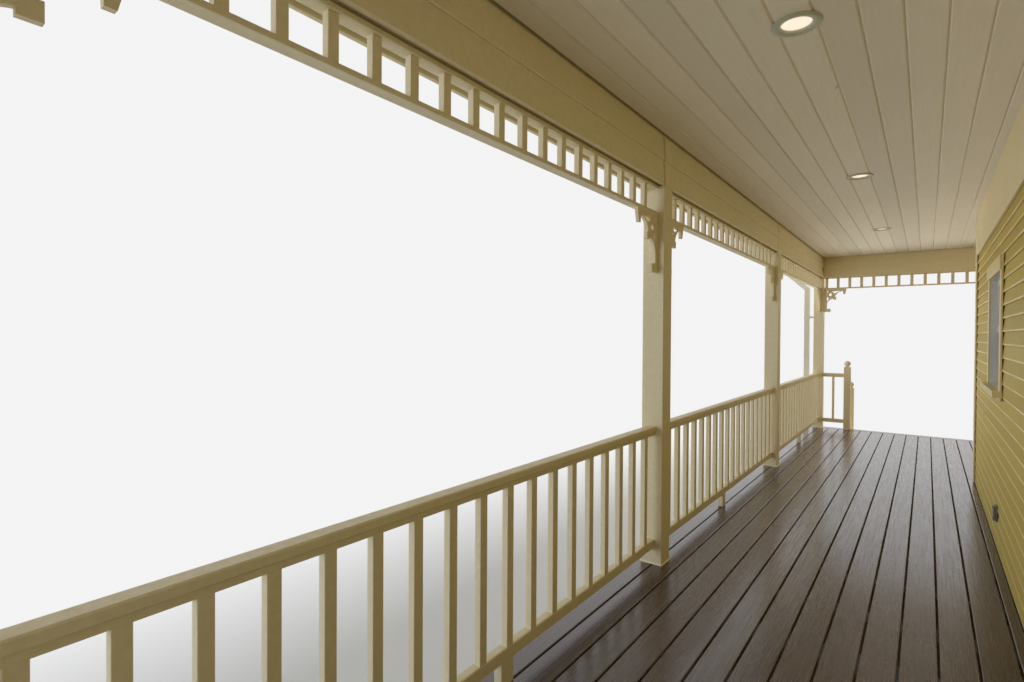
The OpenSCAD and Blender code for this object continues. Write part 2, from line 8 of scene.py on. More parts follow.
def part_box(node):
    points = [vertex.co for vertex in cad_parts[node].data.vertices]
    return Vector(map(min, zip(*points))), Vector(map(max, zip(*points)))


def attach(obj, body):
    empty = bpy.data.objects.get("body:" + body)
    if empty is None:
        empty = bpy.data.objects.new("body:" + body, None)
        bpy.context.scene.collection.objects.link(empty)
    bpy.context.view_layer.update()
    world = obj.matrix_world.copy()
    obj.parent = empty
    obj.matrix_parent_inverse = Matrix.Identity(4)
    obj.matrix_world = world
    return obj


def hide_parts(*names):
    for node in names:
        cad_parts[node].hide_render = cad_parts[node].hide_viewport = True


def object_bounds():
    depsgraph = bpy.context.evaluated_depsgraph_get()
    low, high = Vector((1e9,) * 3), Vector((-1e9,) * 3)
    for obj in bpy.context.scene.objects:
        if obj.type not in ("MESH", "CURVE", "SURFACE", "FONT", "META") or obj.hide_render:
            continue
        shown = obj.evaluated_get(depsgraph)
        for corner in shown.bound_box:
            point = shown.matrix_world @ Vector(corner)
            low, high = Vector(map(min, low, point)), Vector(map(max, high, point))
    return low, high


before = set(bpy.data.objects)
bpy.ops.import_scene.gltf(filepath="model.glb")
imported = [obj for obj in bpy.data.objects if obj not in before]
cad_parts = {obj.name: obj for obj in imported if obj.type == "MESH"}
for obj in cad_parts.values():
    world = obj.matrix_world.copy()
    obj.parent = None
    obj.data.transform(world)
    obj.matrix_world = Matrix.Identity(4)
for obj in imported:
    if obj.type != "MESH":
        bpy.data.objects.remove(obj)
cadLow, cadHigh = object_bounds()
scene = bpy.context.scene

# all lengths in metres, on the porch's own axes: x from the first post's outer face, y from the front
# wall's face outwards, z from the ground
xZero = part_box("post_1")[0].x
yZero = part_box("front_wall")[1].y


def at(x, y, z):
    return Vector((xZero + x, yZero + y, z))


def span(node):
    low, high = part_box(node)
    shift = Vector((xZero, yZero, 0))
    return low - shift, high - shift


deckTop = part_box("deck")[1].z
post1, post2, post4 = span("post_1"), span("post_2"), span("post_4")
postWidth = post1[1].x - post1[0].x
bayPitch = post2[0].x - post1[0].x
lastX, endX = post4[0].x, post4[1].x
postY, beamY = post1[0].y, post1[1].y
ceilingZ = span("ceiling")[0].z
beamZ, lipZ, beamTop = span("frieze_1")[1].z, span("front_beam")[0].z, span("front_beam")[1].z
cornerX = span("front_wall")[1].x
recessY = span("recess_wall")[1].y
print("frame read, deck top at", round(deckTop, 3))

# the eye is inside the near end, looking along the porch and a little outwards
view = {"lens": 19.197, "sensor": 36, "clip": 0.02, "yaw": 37.23, "pitch": 0.611, "roll": 0.338,
        "height": 1.4744, "inX": 0.012, "inY": 0.405}
eye = bpy.data.cameras.new("eye")
eye.lens, eye.sensor_width, eye.clip_start = view["lens"], view["sensor"], view["clip"]
camera = bpy.data.objects.new("eye", eye)
scene.collection.objects.link(camera)
camera.location = at(view["inX"], view["inY"], deckTop + view["height"])
yaw, pitch, roll = (math.radians(view[k]) for k in ("yaw", "pitch", "roll"))
forward = Vector((math.cos(yaw) * math.cos(pitch), math.sin(yaw) * math.cos(pitch), -math.sin(pitch)))
upward = Vector((math.cos(yaw) * math.sin(pitch), math.sin(yaw) * math.sin(pitch), math.cos(pitch)))
sideways = Vector((math.sin(yaw), -math.cos(yaw), 0))
right = sideways * math.cos(roll) + upward * math.sin(roll)
up = upward * math.cos(roll) - sideways * math.sin(roll)
camera.rotation_euler = Matrix((right, up, -forward)).transposed().to_euler()
scene.camera = camera
print("camera set")


def openSocket(sockets, name):
    return next(s for s in sockets if s.enabled and s.name == name)


def plug(tree, value, socket):
    if isinstance(value, bpy.types.NodeSocket):
        tree.links.new(value, socket)
    else:
        socket.default_value = value


def addNode(tree, kind, settings=None, **inputs):
    node = tree.nodes.new(kind)
    for key, value in (settings or {}).items():
        setattr(node, key, value)
    for key, value in inputs.items():
        plug(tree, value, openSocket(node.inputs, key.replace("_", " ")))
    return node


def vectorMath(tree, operation, first, second):
    node = addNode(tree, "ShaderNodeVectorMath", {"operation": operation})
    plug(tree, first, node.inputs[0])
    plug(tree, second, node.inputs[1])
    return node.outputs["Vector"]


def multiply(tree, first, second):
    node = addNode(tree, "ShaderNodeMath", {"operation": "MULTIPLY"})
    plug(tree, first, node.inputs[0])
    plug(tree, second, node.inputs[1])
    return node.outputs["Value"]


def blendShaders(tree, factor, first, second):
    mix = addNode(tree, "ShaderNodeMixShader")
    for socket, value in zip(mix.inputs, (factor, first, second)):
        plug(tree, value, socket)
    return mix.outputs["Shader"]


def remap(tree, value, low, high, toLow=0.0, toHigh=1.0):
    node = addNode(tree, "ShaderNodeMapRange", {"clamp": True}, Value=value)
    for label, number in (("From Min", low), ("From Max", high), ("To Min", toLow), ("To Max", toHigh)):
        openSocket(node.inputs, label).default_value = number
    return node.outputs["Result"]


def blendColours(tree, factor, first, second):
    mix = addNode(tree, "ShaderNodeMix", {"data_type": "RGBA"}, Factor=factor)
    plug(tree, first, openSocket(mix.inputs, "A"))
    plug(tree, second, openSocket(mix.inputs, "B"))
    return openSocket(mix.outputs, "Result")


def rgb(colour):  # a colour as it looks on screen, as the shader's linear values
    shares = [c / 255 for c in colour]
    return (*(s / 12.92 if s <= 0.04 else ((s + 0.055) / 1.055) ** 2.4 for s in shares), 1.0)


# ranges of noise that blend one colour into the next, and the noises' sizes, the same in every finish
mixing = {"grain": (0.32, 0.7), "clouds": (0.4, 0.9), "patches": (0.45, 0.75), "knots": (0.76, 0.83),
          "specks": (0.66, 0.72), "gloss": (0.3, 0.7), "highlightAndWear": (0.3, 0.65), "leastHighlightAndWear": 0.35, "tone": 0.6,
          "even": (1, 1, 1), "cloudSize": 1.7, "knotStretch": (1.0, 2.6, 2.6), "knotSize": 4.2,
          "speckSize": 95, "shift": (7.0, 3.0, 5.0), "relief": 0.0025, "fine": 5, "medium": 4, "coarse": 2}


def noiseAt(tree, stretch, scale, detail, tone=None):
    place = addNode(tree, "ShaderNodeTexCoord").outputs["Object"]
    if tone is not None:  # every board gets its own stretch of grain
        shift = mixing["shift"]
        push = addNode(tree, "ShaderNodeVectorMath", {"operation": "SCALE"}, Vector=shift, Scale=tone)
        place = vectorMath(tree, "ADD", place, push.outputs["Vector"])
    mapped = addNode(tree, "ShaderNodeMapping", None, Vector=place, Scale=stretch)
    return addNode(tree, "ShaderNodeTexNoise", None, Vector=mapped.outputs["Vector"], Scale=scale,
                   Detail=detail).outputs["Fac"]


# the edges' lighter colour is a painted highlight along every corner, partly worn paint
def edgeHighlightAndWear(tree, breakUp, most):  # the narrow faces along every corner carry the attribute "edge"
    edge = addNode(tree, "ShaderNodeAttribute", {"attribute_name": "edge"}).outputs["Fac"]
    return multiply(tree, edge, remap(tree, breakUp, *mixing["highlightAndWear"], mixing["leastHighlightAndWear"] * most, most))


# every finish: main and second colour, colour of the edges (a painted highlight, partly worn paint), stretch
# and size of the grain, gloss, relief, and "toned" where every board differs a little from the next
finishes = {
    "trim_paint": {"main": (240, 228, 192), "second": (232, 218, 179), "edge": (250, 243, 222),
                   "grain": 42, "rough": (0.36, 0.52), "shine": 0.12, "bump": 0.10},
    "siding_paint": {"main": (205, 182, 97), "second": (196, 172, 86), "edge": (246, 234, 188), "highlightAndWear": 1.0,
                     "stretch": (1, 14, 14), "grain": 16, "rough": (0.45, 0.6), "shine": 0.12, "bump": 0.22,
                     "toned": 0.10},
    "band_paint": {"main": (240, 226, 183), "second": (233, 217, 171), "edge": (248, 240, 214),
                   "grain": 40, "rough": (0.4, 0.55), "shine": 0.2, "bump": 0.10},
    "casing_paint": {"main": (232, 214, 154), "second": (224, 204, 142), "edge": (246, 236, 206),
                     "grain": 42, "rough": (0.36, 0.52), "shine": 0.2, "bump": 0.10},
    "ceiling_paint": {"main": (248, 239, 221), "second": (243, 233, 213), "edge": (246, 236, 214),
                      "stretch": (1.2, 30, 30), "grain": 3.0, "rough": (0.42, 0.58), "shine": 0.15,
                      "bump": 0.10, "toned": 0.06, "knots": (178, 160, 132)},
    "deck_stain": {"main": (93, 76, 73), "second": (78, 63, 60), "edge": (134, 118, 112),
                   "stretch": (1.0, 26, 26), "grain": 3.2, "rough": (0.18, 0.34), "bump": 0.22, "toned": 0.22,
                   "patches": (103, 86, 84), "specks": (64, 51, 47), "coat": (0.5, 0.2)},
    "bare_wood": {"main": (196, 164, 118), "second": (160, 126, 84), "edge": (206, 180, 140),
                  "stretch": (1.5, 22, 22), "grain": 3.0, "rough": (0.6, 0.75), "bump": 0.3},
    "concrete": {"main": (176, 172, 162), "second": (146, 142, 132), "edge": (190, 187, 178),
                 "grain": 40, "rough": (0.8, 0.95), "bump": 0.5},
    "shingles": {"main": (116, 110, 104), "second": (74, 70, 68), "edge": (132, 126, 120),
                 "grain": 160, "rough": (0.85, 0.97), "bump": 0.5, "toned": 0.45},
    "wallboard": {"main": (224, 220, 210), "second": (214, 209, 198), "edge": (232, 229, 220),
                  "grain": 70, "rough": (0.65, 0.8), "bump": 0.15},
    "white_metal": {"main": (238, 234, 220), "second": (228, 222, 206), "edge": (204, 202, 196),
                    "grain": 30, "rough": (0.25, 0.38), "bump": 0.05},
    "sash_plastic": {"main": (226, 224, 214), "second": (216, 213, 202), "edge": (236, 235, 228),
                     "grain": 40, "rough": (0.3, 0.42), "bump": 0.05},
    "outlet_plastic": {"main": (118, 122, 116), "second": (104, 108, 102), "edge": (146, 150, 144),
                       "grain": 60, "rough": (0.4, 0.5), "bump": 0.12},
    "light_ring": {"main": (206, 208, 186), "second": (194, 196, 174), "edge": (220, 221, 204),
                   "grain": 60, "rough": (0.35, 0.45), "bump": 0.04},
    # the panes' dark colour is painted shade of the unlit room behind them
    "window_glass": {"main": (30, 36, 37), "second": (46, 53, 52), "edge": (60, 66, 64),
                     "grain": 1.3, "rough": (0.03, 0.07), "bump": 0.02},
    "light_lens": {"main": (255, 243, 230), "second": (255, 230, 208), "edge": (255, 240, 224),
                   "grain": 260, "rough": (0.3, 0.4), "bump": 0.25, "glow": 0.78},
}
usual = {"highlightAndWear": 0.8, "stretch": (1, 1, 1), "shine": 0.5}  # what a finish has where it says nothing else


def makeFinish(name, look):
    look = {**usual, **look}
    finish = bpy.data.materials.new(name)
    finish.use_nodes = True
    tree = finish.node_tree
    shader = next(n for n in tree.nodes if n.type == "BSDF_PRINCIPLED")
    tone = None
    if "toned" in look:
        tone = addNode(tree, "ShaderNodeAttribute", {"attribute_name": "tone"}).outputs["Fac"]
    grain = noiseAt(tree, look["stretch"], look["grain"], mixing["fine"], tone)
    clouds = noiseAt(tree, mixing["even"], mixing["cloudSize"], mixing["medium"], tone)
    colour = blendColours(tree, remap(tree, grain, *mixing["grain"]), rgb(look["main"]), rgb(look["second"]))
    if "patches" in look:
        colour = blendColours(tree, remap(tree, clouds, *mixing["patches"]), colour, rgb(look["patches"]))
    else:
        colour = blendColours(tree, remap(tree, clouds, *mixing["clouds"]), colour, rgb(look["second"]))
    if "knots" in look:
        knots = noiseAt(tree, mixing["knotStretch"], mixing["knotSize"], mixing["coarse"], tone)
        colour = blendColours(tree, remap(tree, knots, *mixing["knots"]), colour, rgb(look["knots"]))
    if "specks" in look:
        specks = noiseAt(tree, mixing["even"], mixing["speckSize"], mixing["coarse"])
        colour = blendColours(tree, remap(tree, specks, *mixing["specks"]), colour, rgb(look["specks"]))
    if tone is not None:
        darker = rgb([c * (1 - look["toned"]) for c in look["second"]])
        colour = blendColours(tree, remap(tree, tone, 0.0, 1.0, 0.0, mixing["tone"]), colour, darker)
    # painted highlight, partly worn paint: the narrow corner faces take the edge colour
    colour = blendColours(tree, edgeHighlightAndWear(tree, clouds, look["highlightAndWear"]), colour, rgb(look["edge"]))
    bump = addNode(tree, "ShaderNodeBump", None, Strength=look["bump"], Distance=mixing["relief"],
                   Height=grain)
    given = {"Base Color": colour, "Roughness": remap(tree, grain, *mixing["gloss"], *look["rough"]),
             "Normal": bump.outputs["Normal"], "Specular IOR Level": look["shine"]}
    if "coat" in look:
        given["Coat Weight"], given["Coat Roughness"] = look["coat"]
    if "glow" in look:
        given["Emission Color"], given["Emission Strength"] = colour, look["glow"]
    for label, value in given.items():
        plug(tree, value, shader.inputs[label])
    return finish


finish = {name: makeFinish(name, look) for name, look in finishes.items()}
print("finishes made:", len(finish))


def startTree(name, inputs):
    tree = bpy.data.node_groups.new(name, "GeometryNodeTree")
    tree.interface.new_socket(name="Geometry", in_out="INPUT", socket_type="NodeSocketGeometry")
    for label, kind in inputs:
        tree.interface.new_socket(name=label, in_out="INPUT", socket_type="NodeSocket" + kind)
    tree.interface.new_socket(name="Geometry", in_out="OUTPUT", socket_type="NodeSocketGeometry")
    return tree, tree.nodes.new("NodeGroupInput")


def endTree(tree, given, geometry):  # every loose board keeps a number of its own, for its colour and grain
    real = addNode(tree, "GeometryNodeRealizeInstances", None, Geometry=geometry).outputs["Geometry"]
    island = addNode(tree, "GeometryNodeInputMeshIsland").outputs["Island Index"]
    seed = given.outputs["Seed"]
    pick = addNode(tree, "FunctionNodeRandomValue", {"data_type": "FLOAT"}, ID=island, Seed=seed)
    keep = addNode(tree, "GeometryNodeStoreNamedAttribute", {"data_type": "FLOAT", "domain": "POINT"},
                   Geometry=real, Name="tone", Value=next(o for o in pick.outputs if o.enabled))
    done = addNode(tree, "GeometryNodeSetMaterial", None, Geometry=keep.outputs["Geometry"],
                   Material=given.outputs["Material"])
    out = tree.nodes.new("NodeGroupOutput")
    tree.links.new(done.outputs["Geometry"], out.inputs["Geometry"])
    return tree


def sweptTree():  # every edge of the base becomes a board of the outline's shape
    inputs = [("Outline", "Object"), ("Material", "Material"), ("Seed", "Int")]
    tree, given = startTree("swept_boards", inputs)
    runs = addNode(tree, "GeometryNodeMeshToCurve", None, Mesh=given.outputs["Geometry"])
    shape = addNode(tree, "GeometryNodeObjectInfo", None, Object=given.outputs["Outline"])
    loop = addNode(tree, "GeometryNodeMeshToCurve", None, Mesh=shape.outputs["Geometry"])
    boards = addNode(tree, "GeometryNodeCurveToMesh", None, Curve=runs.outputs["Curve"],
                     Profile_Curve=loop.outputs["Curve"], Fill_Caps=True)
    return endTree(tree, given, boards.outputs["Mesh"])


def barTree():  # upright bars with eased corners, evenly along every edge of the base
    inputs = [("Count", "Int"), ("Width", "Float"), ("Depth", "Float"), ("Height", "Float"),
              ("Ease", "Float"), ("Material", "Material"), ("Seed", "Int")]
    tree, given = startTree("bar_rows", inputs)
    rows = addNode(tree, "GeometryNodeMeshToCurve", None, Mesh=given.outputs["Geometry"])
    spots = addNode(tree, "GeometryNodeResampleCurve", {"mode": "COUNT"}, Curve=rows.outputs["Curve"],
                    Count=given.outputs["Count"])
    top = addNode(tree, "ShaderNodeCombineXYZ", None, Z=given.outputs["Height"])
    stem = addNode(tree, "GeometryNodeCurvePrimitiveLine", None, End=top.outputs["Vector"])
    square = addNode(tree, "GeometryNodeCurvePrimitiveQuadrilateral", None, Width=given.outputs["Width"],
                     Height=given.outputs["Depth"])
    eased = addNode(tree, "GeometryNodeFilletCurve", {"mode": "POLY"}, Curve=square.outputs["Curve"],
                    Count=2, Radius=given.outputs["Ease"])
    bar = addNode(tree, "GeometryNodeCurveToMesh", None, Curve=stem.outputs["Curve"],
                  Profile_Curve=eased.outputs["Curve"], Fill_Caps=True)
    placed = addNode(tree, "GeometryNodeInstanceOnPoints", None, Points=spots.outputs["Curve"],
                     Instance=bar.outputs["Mesh"])
    return endTree(tree, given, placed.outputs["Instances"])


sweptBoards, barRows = sweptTree(), barTree()
small = {"weld": 0.00005, "angle": 0.02, "touch": 0.0001, "stub": 0.0005, "play": 0.001}  # too small to see


def lineObject(name, points, pairs):
    mesh = bpy.data.meshes.new(name)
    mesh.from_pydata([tuple(p) for p in points], pairs, [])
    thing = bpy.data.objects.new(name, mesh)
    scene.collection.objects.link(thing)
    return thing


def keepResult(thing):  # the modifiers' result becomes the object's plain mesh
    graph = bpy.context.evaluated_depsgraph_get()
    result = thing.evaluated_get(graph)
    made = bpy.data.meshes.new_from_object(result, preserve_all_data_layers=True, depsgraph=graph)
    thing.modifiers.clear()
    thing.data = made
    return made


def markEdges(mesh, widest=0.0068):  # faces narrower than this are a corner's own
    mark = mesh.attributes.new("edge", "FLOAT", "FACE")
    for face in mesh.polygons:
        longest = max((mesh.vertices[a].co - mesh.vertices[b].co).length for a, b in face.edge_keys)
        mark.data[face.index].value = float(face.area < widest * longest)


def grow(thing, tree, values):
    modifier = thing.modifiers.new("build", "NODES")
    modifier.node_group = tree
    for item in tree.interface.items_tree:
        if item.item_type == "SOCKET" and item.in_out == "INPUT" and item.name in values:
            modifier[item.identifier] = values[item.name]
    made = keepResult(thing)
    shape = bmesh.new()
    shape.from_mesh(made)
    bmesh.ops.recalc_face_normals(shape, faces=shape.faces)
    shape.to_mesh(made)
    shape.free()
    made.shade_flat()
    markEdges(made)
    return thing


def edgeList(runs):
    points, pairs = [], []
    for start, end in runs:
        pairs.append((len(points), len(points) + 1))
        points += [start, end]
    return points, pairs


# the outline's points are (outward, up), and outward is to the left of the run
def sweep(name, runs, outline, look, seed=1):
    base = lineObject(name, *edgeList(runs))
    count = len(outline)
    shape = lineObject(name + "_outline", [(-out, -high, 0) for out, high in outline],
                       [(i, (i + 1) % count) for i in range(count)])
    grow(base, sweptBoards, {"Outline": shape, "Material": finish[look], "Seed": seed})
    bpy.data.objects.remove(shape)
    return base


def barRow(name, start, end, count, width, depth, height, ease, look, seed=1):
    if abs(end.y - start.y) > abs(end.x - start.x):
        width, depth = depth, width
    ends = (start, end)
    if count == 1:  # one bar alone stands in the middle, on a stub of a line
        middle = (start + end) / 2
        length = max(end.x - start.x, abs(end.y - start.y), small["play"])
        reach = (end - start) / length * small["stub"]
        ends = (middle - reach, middle + reach)
    base = lineObject(name, *edgeList([ends]))
    values = {"Count": count, "Width": width, "Depth": depth, "Height": height, "Ease": ease,
              "Material": finish[look], "Seed": seed}
    return grow(base, barRows, values)


def join(name, things):
    whole = things[0]
    with bpy.context.temp_override(active_object=whole, object=whole, selected_editable_objects=things):
        bpy.ops.object.join()
    whole.name = name
    return whole


def settle(piece, slotName, *nodes):
    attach(piece, "root")
    if nodes:
        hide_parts(*nodes)
    return piece


def easedBox(width, height, ease):  # a board's cross section, centred, from its underside up
    w, h, e = width / 2, height, ease
    return [(-w + e, 0), (w - e, 0), (w, e), (w, h - e), (w - e, h), (-w + e, h), (-w, h - e), (-w, e)]


def newPiece(name, shape, look):
    mesh = bpy.data.meshes.new(name)
    shape.to_mesh(mesh)
    shape.free()
    mesh.materials.append(finish[look])
    thing = bpy.data.objects.new(name, mesh)
    scene.collection.objects.link(thing)
    return thing


def easeEdges(thing, width, angle=40):
    thing.data.shade_smooth()
    thing.data.set_sharp_from_angle(angle=math.radians(angle))
    ease = thing.modifiers.new("ease", "BEVEL")
    ease.width, ease.segments, ease.limit_method = width, 2, "ANGLE"
    ease.angle_limit = math.radians(angle)
    ease.harden_normals = True
    markEdges(keepResult(thing), 1.3 * width)  # a little over the width of the bevel's own faces
    return thing


def cadShape(*nodes):  # the part's own shape, with its triangles merged into whole faces
    shape = bmesh.new()
    for node in nodes:
        shape.from_mesh(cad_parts[node].data)
    bmesh.ops.remove_doubles(shape, verts=shape.verts, dist=small["weld"])
    bmesh.ops.dissolve_limit(shape, angle_limit=small["angle"], verts=shape.verts, edges=shape.edges)
    return shape


def softCopy(name, nodes, look, width, angle=40):  # the part's own shape with eased edges
    return easeEdges(newPiece(name, cadShape(*nodes), look), width, angle)


def looseBoxes(node):  # low and high corner of every loose solid of a node
    shape = cadShape(node)
    left, boxes = set(shape.verts), []
    while left:
        group, queue = [], [left.pop()]
        while queue:
            vert = queue.pop()
            group.append(vert.co - Vector((xZero, yZero, 0)))
            for edge in vert.link_edges:
                other = edge.other_vert(vert)
                if other in left:
                    left.remove(other)
                    queue.append(other)
        boxes.append((Vector([min(p[i] for p in group) for i in range(3)]),
                      Vector([max(p[i] for p in group) for i in range(3)])))
    shape.free()
    return sorted(boxes, key=lambda b: tuple(b[0]))


def blocks(name, boxes, look, ease):
    shape = bmesh.new()
    for low, high in boxes:
        for vert in bmesh.ops.create_cube(shape, size=1)["verts"]:
            vert.co = Vector([low[i] + (vert.co[i] + 0.5) * (high[i] - low[i]) for i in range(3)])
    return easeEdges(newPiece(name, shape, look), ease)


deckWork = {"pitch": 0.14605, "gap": 0.010, "thick": 0.025, "ease": 0.003, "firstJoint": 1.8065,
            "endBoard": 0.140, "joint": 0.003, "wallGap": 0.003, "leastRow": 0.05, "lastRow": 0.02,
            "buttRow": 4, "butts": [4.632, 9.3], "otherButts": (5.9, 6.5, 7.0, 7.6, 8.2, 8.7),
            "fromStart": 0.8, "fromEnd": 0.4, "seed": 11}


def makeDeck():
    d = deckWork
    low, high = span("deck")
    z, off = high.z - d["thick"], d["wallGap"]
    inner, outer = low.x + d["endBoard"] + d["gap"], high.x - d["endBoard"] - d["gap"]
    chance = random.Random(d["seed"])
    rows, edge, joint = [], high.y, d["firstJoint"]
    while edge > recessY + d["lastRow"]:
        near = joint + d["gap"] / 2
        if near - recessY < d["leastRow"]:
            near = recessY + off
        rows.append((near, edge))
        edge = joint - d["gap"] / 2
        joint -= d["pitch"]
    widths = {}
    for index, (near, far) in enumerate(rows):
        if near < off < far:  # this row meets the front wall, and runs on into the recess past the corner
            pieces = [(off, far, inner, cornerX + off), (near, far, cornerX + 2 * off, outer)]
        else:
            pieces = [(near, far, inner if near > 0 else cornerX + off, outer)]
        for bottom, top, start, end in pieces:
            cuts = d["butts"] if index == d["buttRow"] else [chance.choice(d["otherButts"])]
            kept = [c for c in cuts if start + d["fromStart"] < c < end - d["fromEnd"]]
            stops = [start] + kept + [end]
            y, half = (bottom + top) / 2, d["joint"] / 2
            for a, b in zip(stops, stops[1:]):
                run = (at(a + half, y, z), at(b - half, y, z))
                widths.setdefault(round(top - bottom, 4), []).append(run)
    parts = []
    for width, runs in widths.items():
        board = easedBox(width, d["thick"], d["ease"])
        parts.append(sweep("deck_row", runs, board, "deck_stain", d["seed"] + len(parts)))
    places = ((low.x + d["endBoard"] / 2, off), (high.x - d["endBoard"] / 2, recessY + off))
    ends = [(at(x, start, z), at(x, high.y, z)) for x, start in places]
    board = easedBox(d["endBoard"], d["thick"], d["ease"])
    parts.append(sweep("deck_end", ends, board, "deck_stain", d["seed"]))
    return settle(join("deck_boards", parts), "deck_stain", "deck")


makeDeck()
print("deck laid")

# the nose's narrow faces, down to a strip at the foot of each board's face, take the pale edge colour: a
# painted highlight line along every course
siding = {"exposure": 0.089, "lap": 0.010, "butt": 0.016, "lean": 0.011, "topLine": 2.866, "foot": 0.03,
          "above": 26, "below": 19, "roofTop": 3.95, "play": 0.002, "seed": 5,
          "nose": [(-0.0042, 0), (-0.0012, 0.0012), (0, 0.0045), (-0.0006, 0.0108)],
          "liner": 0.014, "linerIn": 0.0395, "proud": 0.0006, "linerEase": 0.0004}
courseHeight = siding["exposure"] + siding["lap"]
sidingOutline = siding["nose"] + [(-siding["lean"], courseHeight), (-siding["butt"], courseHeight),
                                  (-siding["butt"], 0)]


def makeSiding(hole):
    s = siding
    wallTop = span("front_wall")[1].z
    left, right = hole[0].x - s["liner"], hole[1].x + s["liner"]
    runs = []
    for step in range(s["above"], -s["below"] - 1, -1):
        z = s["topLine"] - s["exposure"] * step
        top = z + courseHeight
        if z < deckTop or top > wallTop + s["play"]:
            continue
        if z <= ceilingZ or top >= s["roofTop"]:  # between the two the roof covers the wall
            byWindow = top > hole[0].z and z < hole[1].z
            gaps = [(0.0, left), (right, cornerX)] if byWindow else [(0.0, cornerX)]
            runs += [(at(a, 0, z), at(b, 0, z)) for a, b in gaps]
        if z < ceilingZ:
            corner = at(cornerX, recessY, z)
            runs += [(at(cornerX, 0, z), corner), (corner, at(endX, recessY, z))]
    boards = sweep("siding", runs, sidingOutline, "siding_paint", s["seed"])
    settle(boards, "siding_paint", "front_wall", "return_wall", "recess_wall")


def makeCores():  # the walls behind the siding stand back by its thickness, on a footing of concrete
    footZ = deckTop - siding["foot"]
    cores = []
    for node in ("front_wall", "return_wall", "recess_wall"):
        shape = cadShape(node)
        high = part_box(node)[1]
        for vert in shape.verts:
            if node != "recess_wall" and abs(vert.co.x - high.x) < small["touch"]:
                vert.co.x -= siding["butt"]
            if node != "return_wall" and abs(vert.co.y - high.y) < small["touch"]:
                vert.co.y -= siding["butt"]
        bmesh.ops.bisect_plane(shape, geom=shape.verts[:] + shape.edges[:] + shape.faces[:],
                               plane_co=(0, 0, footZ), plane_no=(0, 0, 1))
        for face in shape.faces:
            face.material_index = 1 if face.calc_center_median().z < footZ else 0
        core = newPiece(node + "_core", shape, "wallboard")
        core.data.materials.append(finish["concrete"])
        cores.append(core)
    settle(join("wall_cores", cores), "bare_wood")


def makeLiner(hole):  # thin boards line the window's opening out to the casing
    t, p, y = siding["liner"], siding["proud"], -siding["linerIn"]
    low, high = hole
    sides = [((low.x - t, y, low.z - t), (low.x + p, 0, high.z + t)),
             ((high.x - p, y, low.z - t), (high.x + t, 0, high.z + t)),
             ((low.x - t, y, high.z - p), (high.x + t, 0, high.z + t)),
             ((low.x - t, y, low.z - t), (high.x + t, 0, low.z + p))]
    boxes = [(at(*first), at(*last)) for first, last in sides]
    settle(blocks("window_liner", boxes, "sash_plastic", siding["linerEase"]), "sash_plastic")


def makeWalls():
    hole = span("window_sashes")
    makeSiding(hole)
    makeCores()
    makeLiner(hole)


makeWalls()
print("walls clad")

ceilingWork = {"pitch": 0.1434, "firstJoint": 1.6356, "groove": 0.0075, "depth": 0.0075, "play": 0.0004,
               "seed": 3}
lightWork = {"can": 0.075, "steps": 48, "sharp": 50, "cutDepth": 0.2,
             "profile": [(0.0585, 0.005), (0.0605, -0.0035), (0.066, -0.0066), (0.087, -0.0078),
                         (0.0925, -0.005), (0.095, 0.0), (0.075, 0.0), (0.075, 0.038), (0.0, 0.038)],
             "lensProfile": [(0.0, 0.0015), (0.03, 0.0022), (0.05, 0.0035), (0.0584, 0.006), (0.0584, 0.02),
                             (0.0, 0.02)]}


def lightSpots():
    low, high = span("ceiling_lights")
    radius = (high.y - low.y) / 2
    apart = (high.x - low.x - 2 * radius) / 2
    return [at(low.x + radius + i * apart, low.y + radius, ceilingZ) for i in range(3)]


def ceilingRows(edge, stop, firstJoint, pitch):
    joint, rows = firstJoint, []
    while edge > stop + small["play"]:
        near = max(joint, stop)
        rows.append((near, edge))
        edge, joint = near, joint - pitch
    return rows


def groovedBoard(width, thick, work):  # a ceiling board's cross section, with a bevel along both lower edges
    w, g, e = (width - work["play"]) / 2, work["groove"], work["depth"]
    return [(-w + g, 0), (w - g, 0), (w, e), (w, thick), (-w, thick), (-w, e)]


def cutLightHoles(parts, spots):
    shape = bmesh.new()
    for spot in spots:
        bmesh.ops.create_cone(shape, cap_ends=True, segments=lightWork["steps"], radius1=lightWork["can"],
                              radius2=lightWork["can"], depth=lightWork["cutDepth"],
                              matrix=Matrix.Translation(spot))
    tool = newPiece("light_holes", shape, "ceiling_paint")
    for part in parts:
        cut = part.modifiers.new("holes", "BOOLEAN")
        cut.object, cut.operation, cut.solver = tool, "DIFFERENCE", "EXACT"
        keepResult(part)
    bpy.data.objects.remove(tool)


def makeCeiling():
    c = ceilingWork
    low, high = span("ceiling")
    spots = lightSpots()
    lightY, can = spots[0].y - yZero, lightWork["can"]
    plain, holed = {}, {}
    for near, far in ceilingRows(postY, recessY, c["firstJoint"], c["pitch"]):
        pieces = [(near, far, low.x if near >= 0 else cornerX)]
        if near < 0 < far:
            pieces = [(0.0, far, low.x), (near, 0.0, cornerX)]
        for bottom, top, start in pieces:
            group = holed if bottom < lightY + can and top > lightY - can else plain
            y = (bottom + top) / 2
            group.setdefault(round(top - bottom, 4), []).append((at(start, y, low.z), at(high.x, y, low.z)))
    parts = []
    for group in (plain, holed):
        for width, runs in group.items():
            outline = groovedBoard(width, high.z - low.z, c)
            parts.append(sweep("ceiling_row", runs, outline, "ceiling_paint", c["seed"] + len(parts)))
    cutLightHoles(parts[len(plain):], spots)
    return settle(join("ceiling_boards", parts), "ceiling_paint", "ceiling")


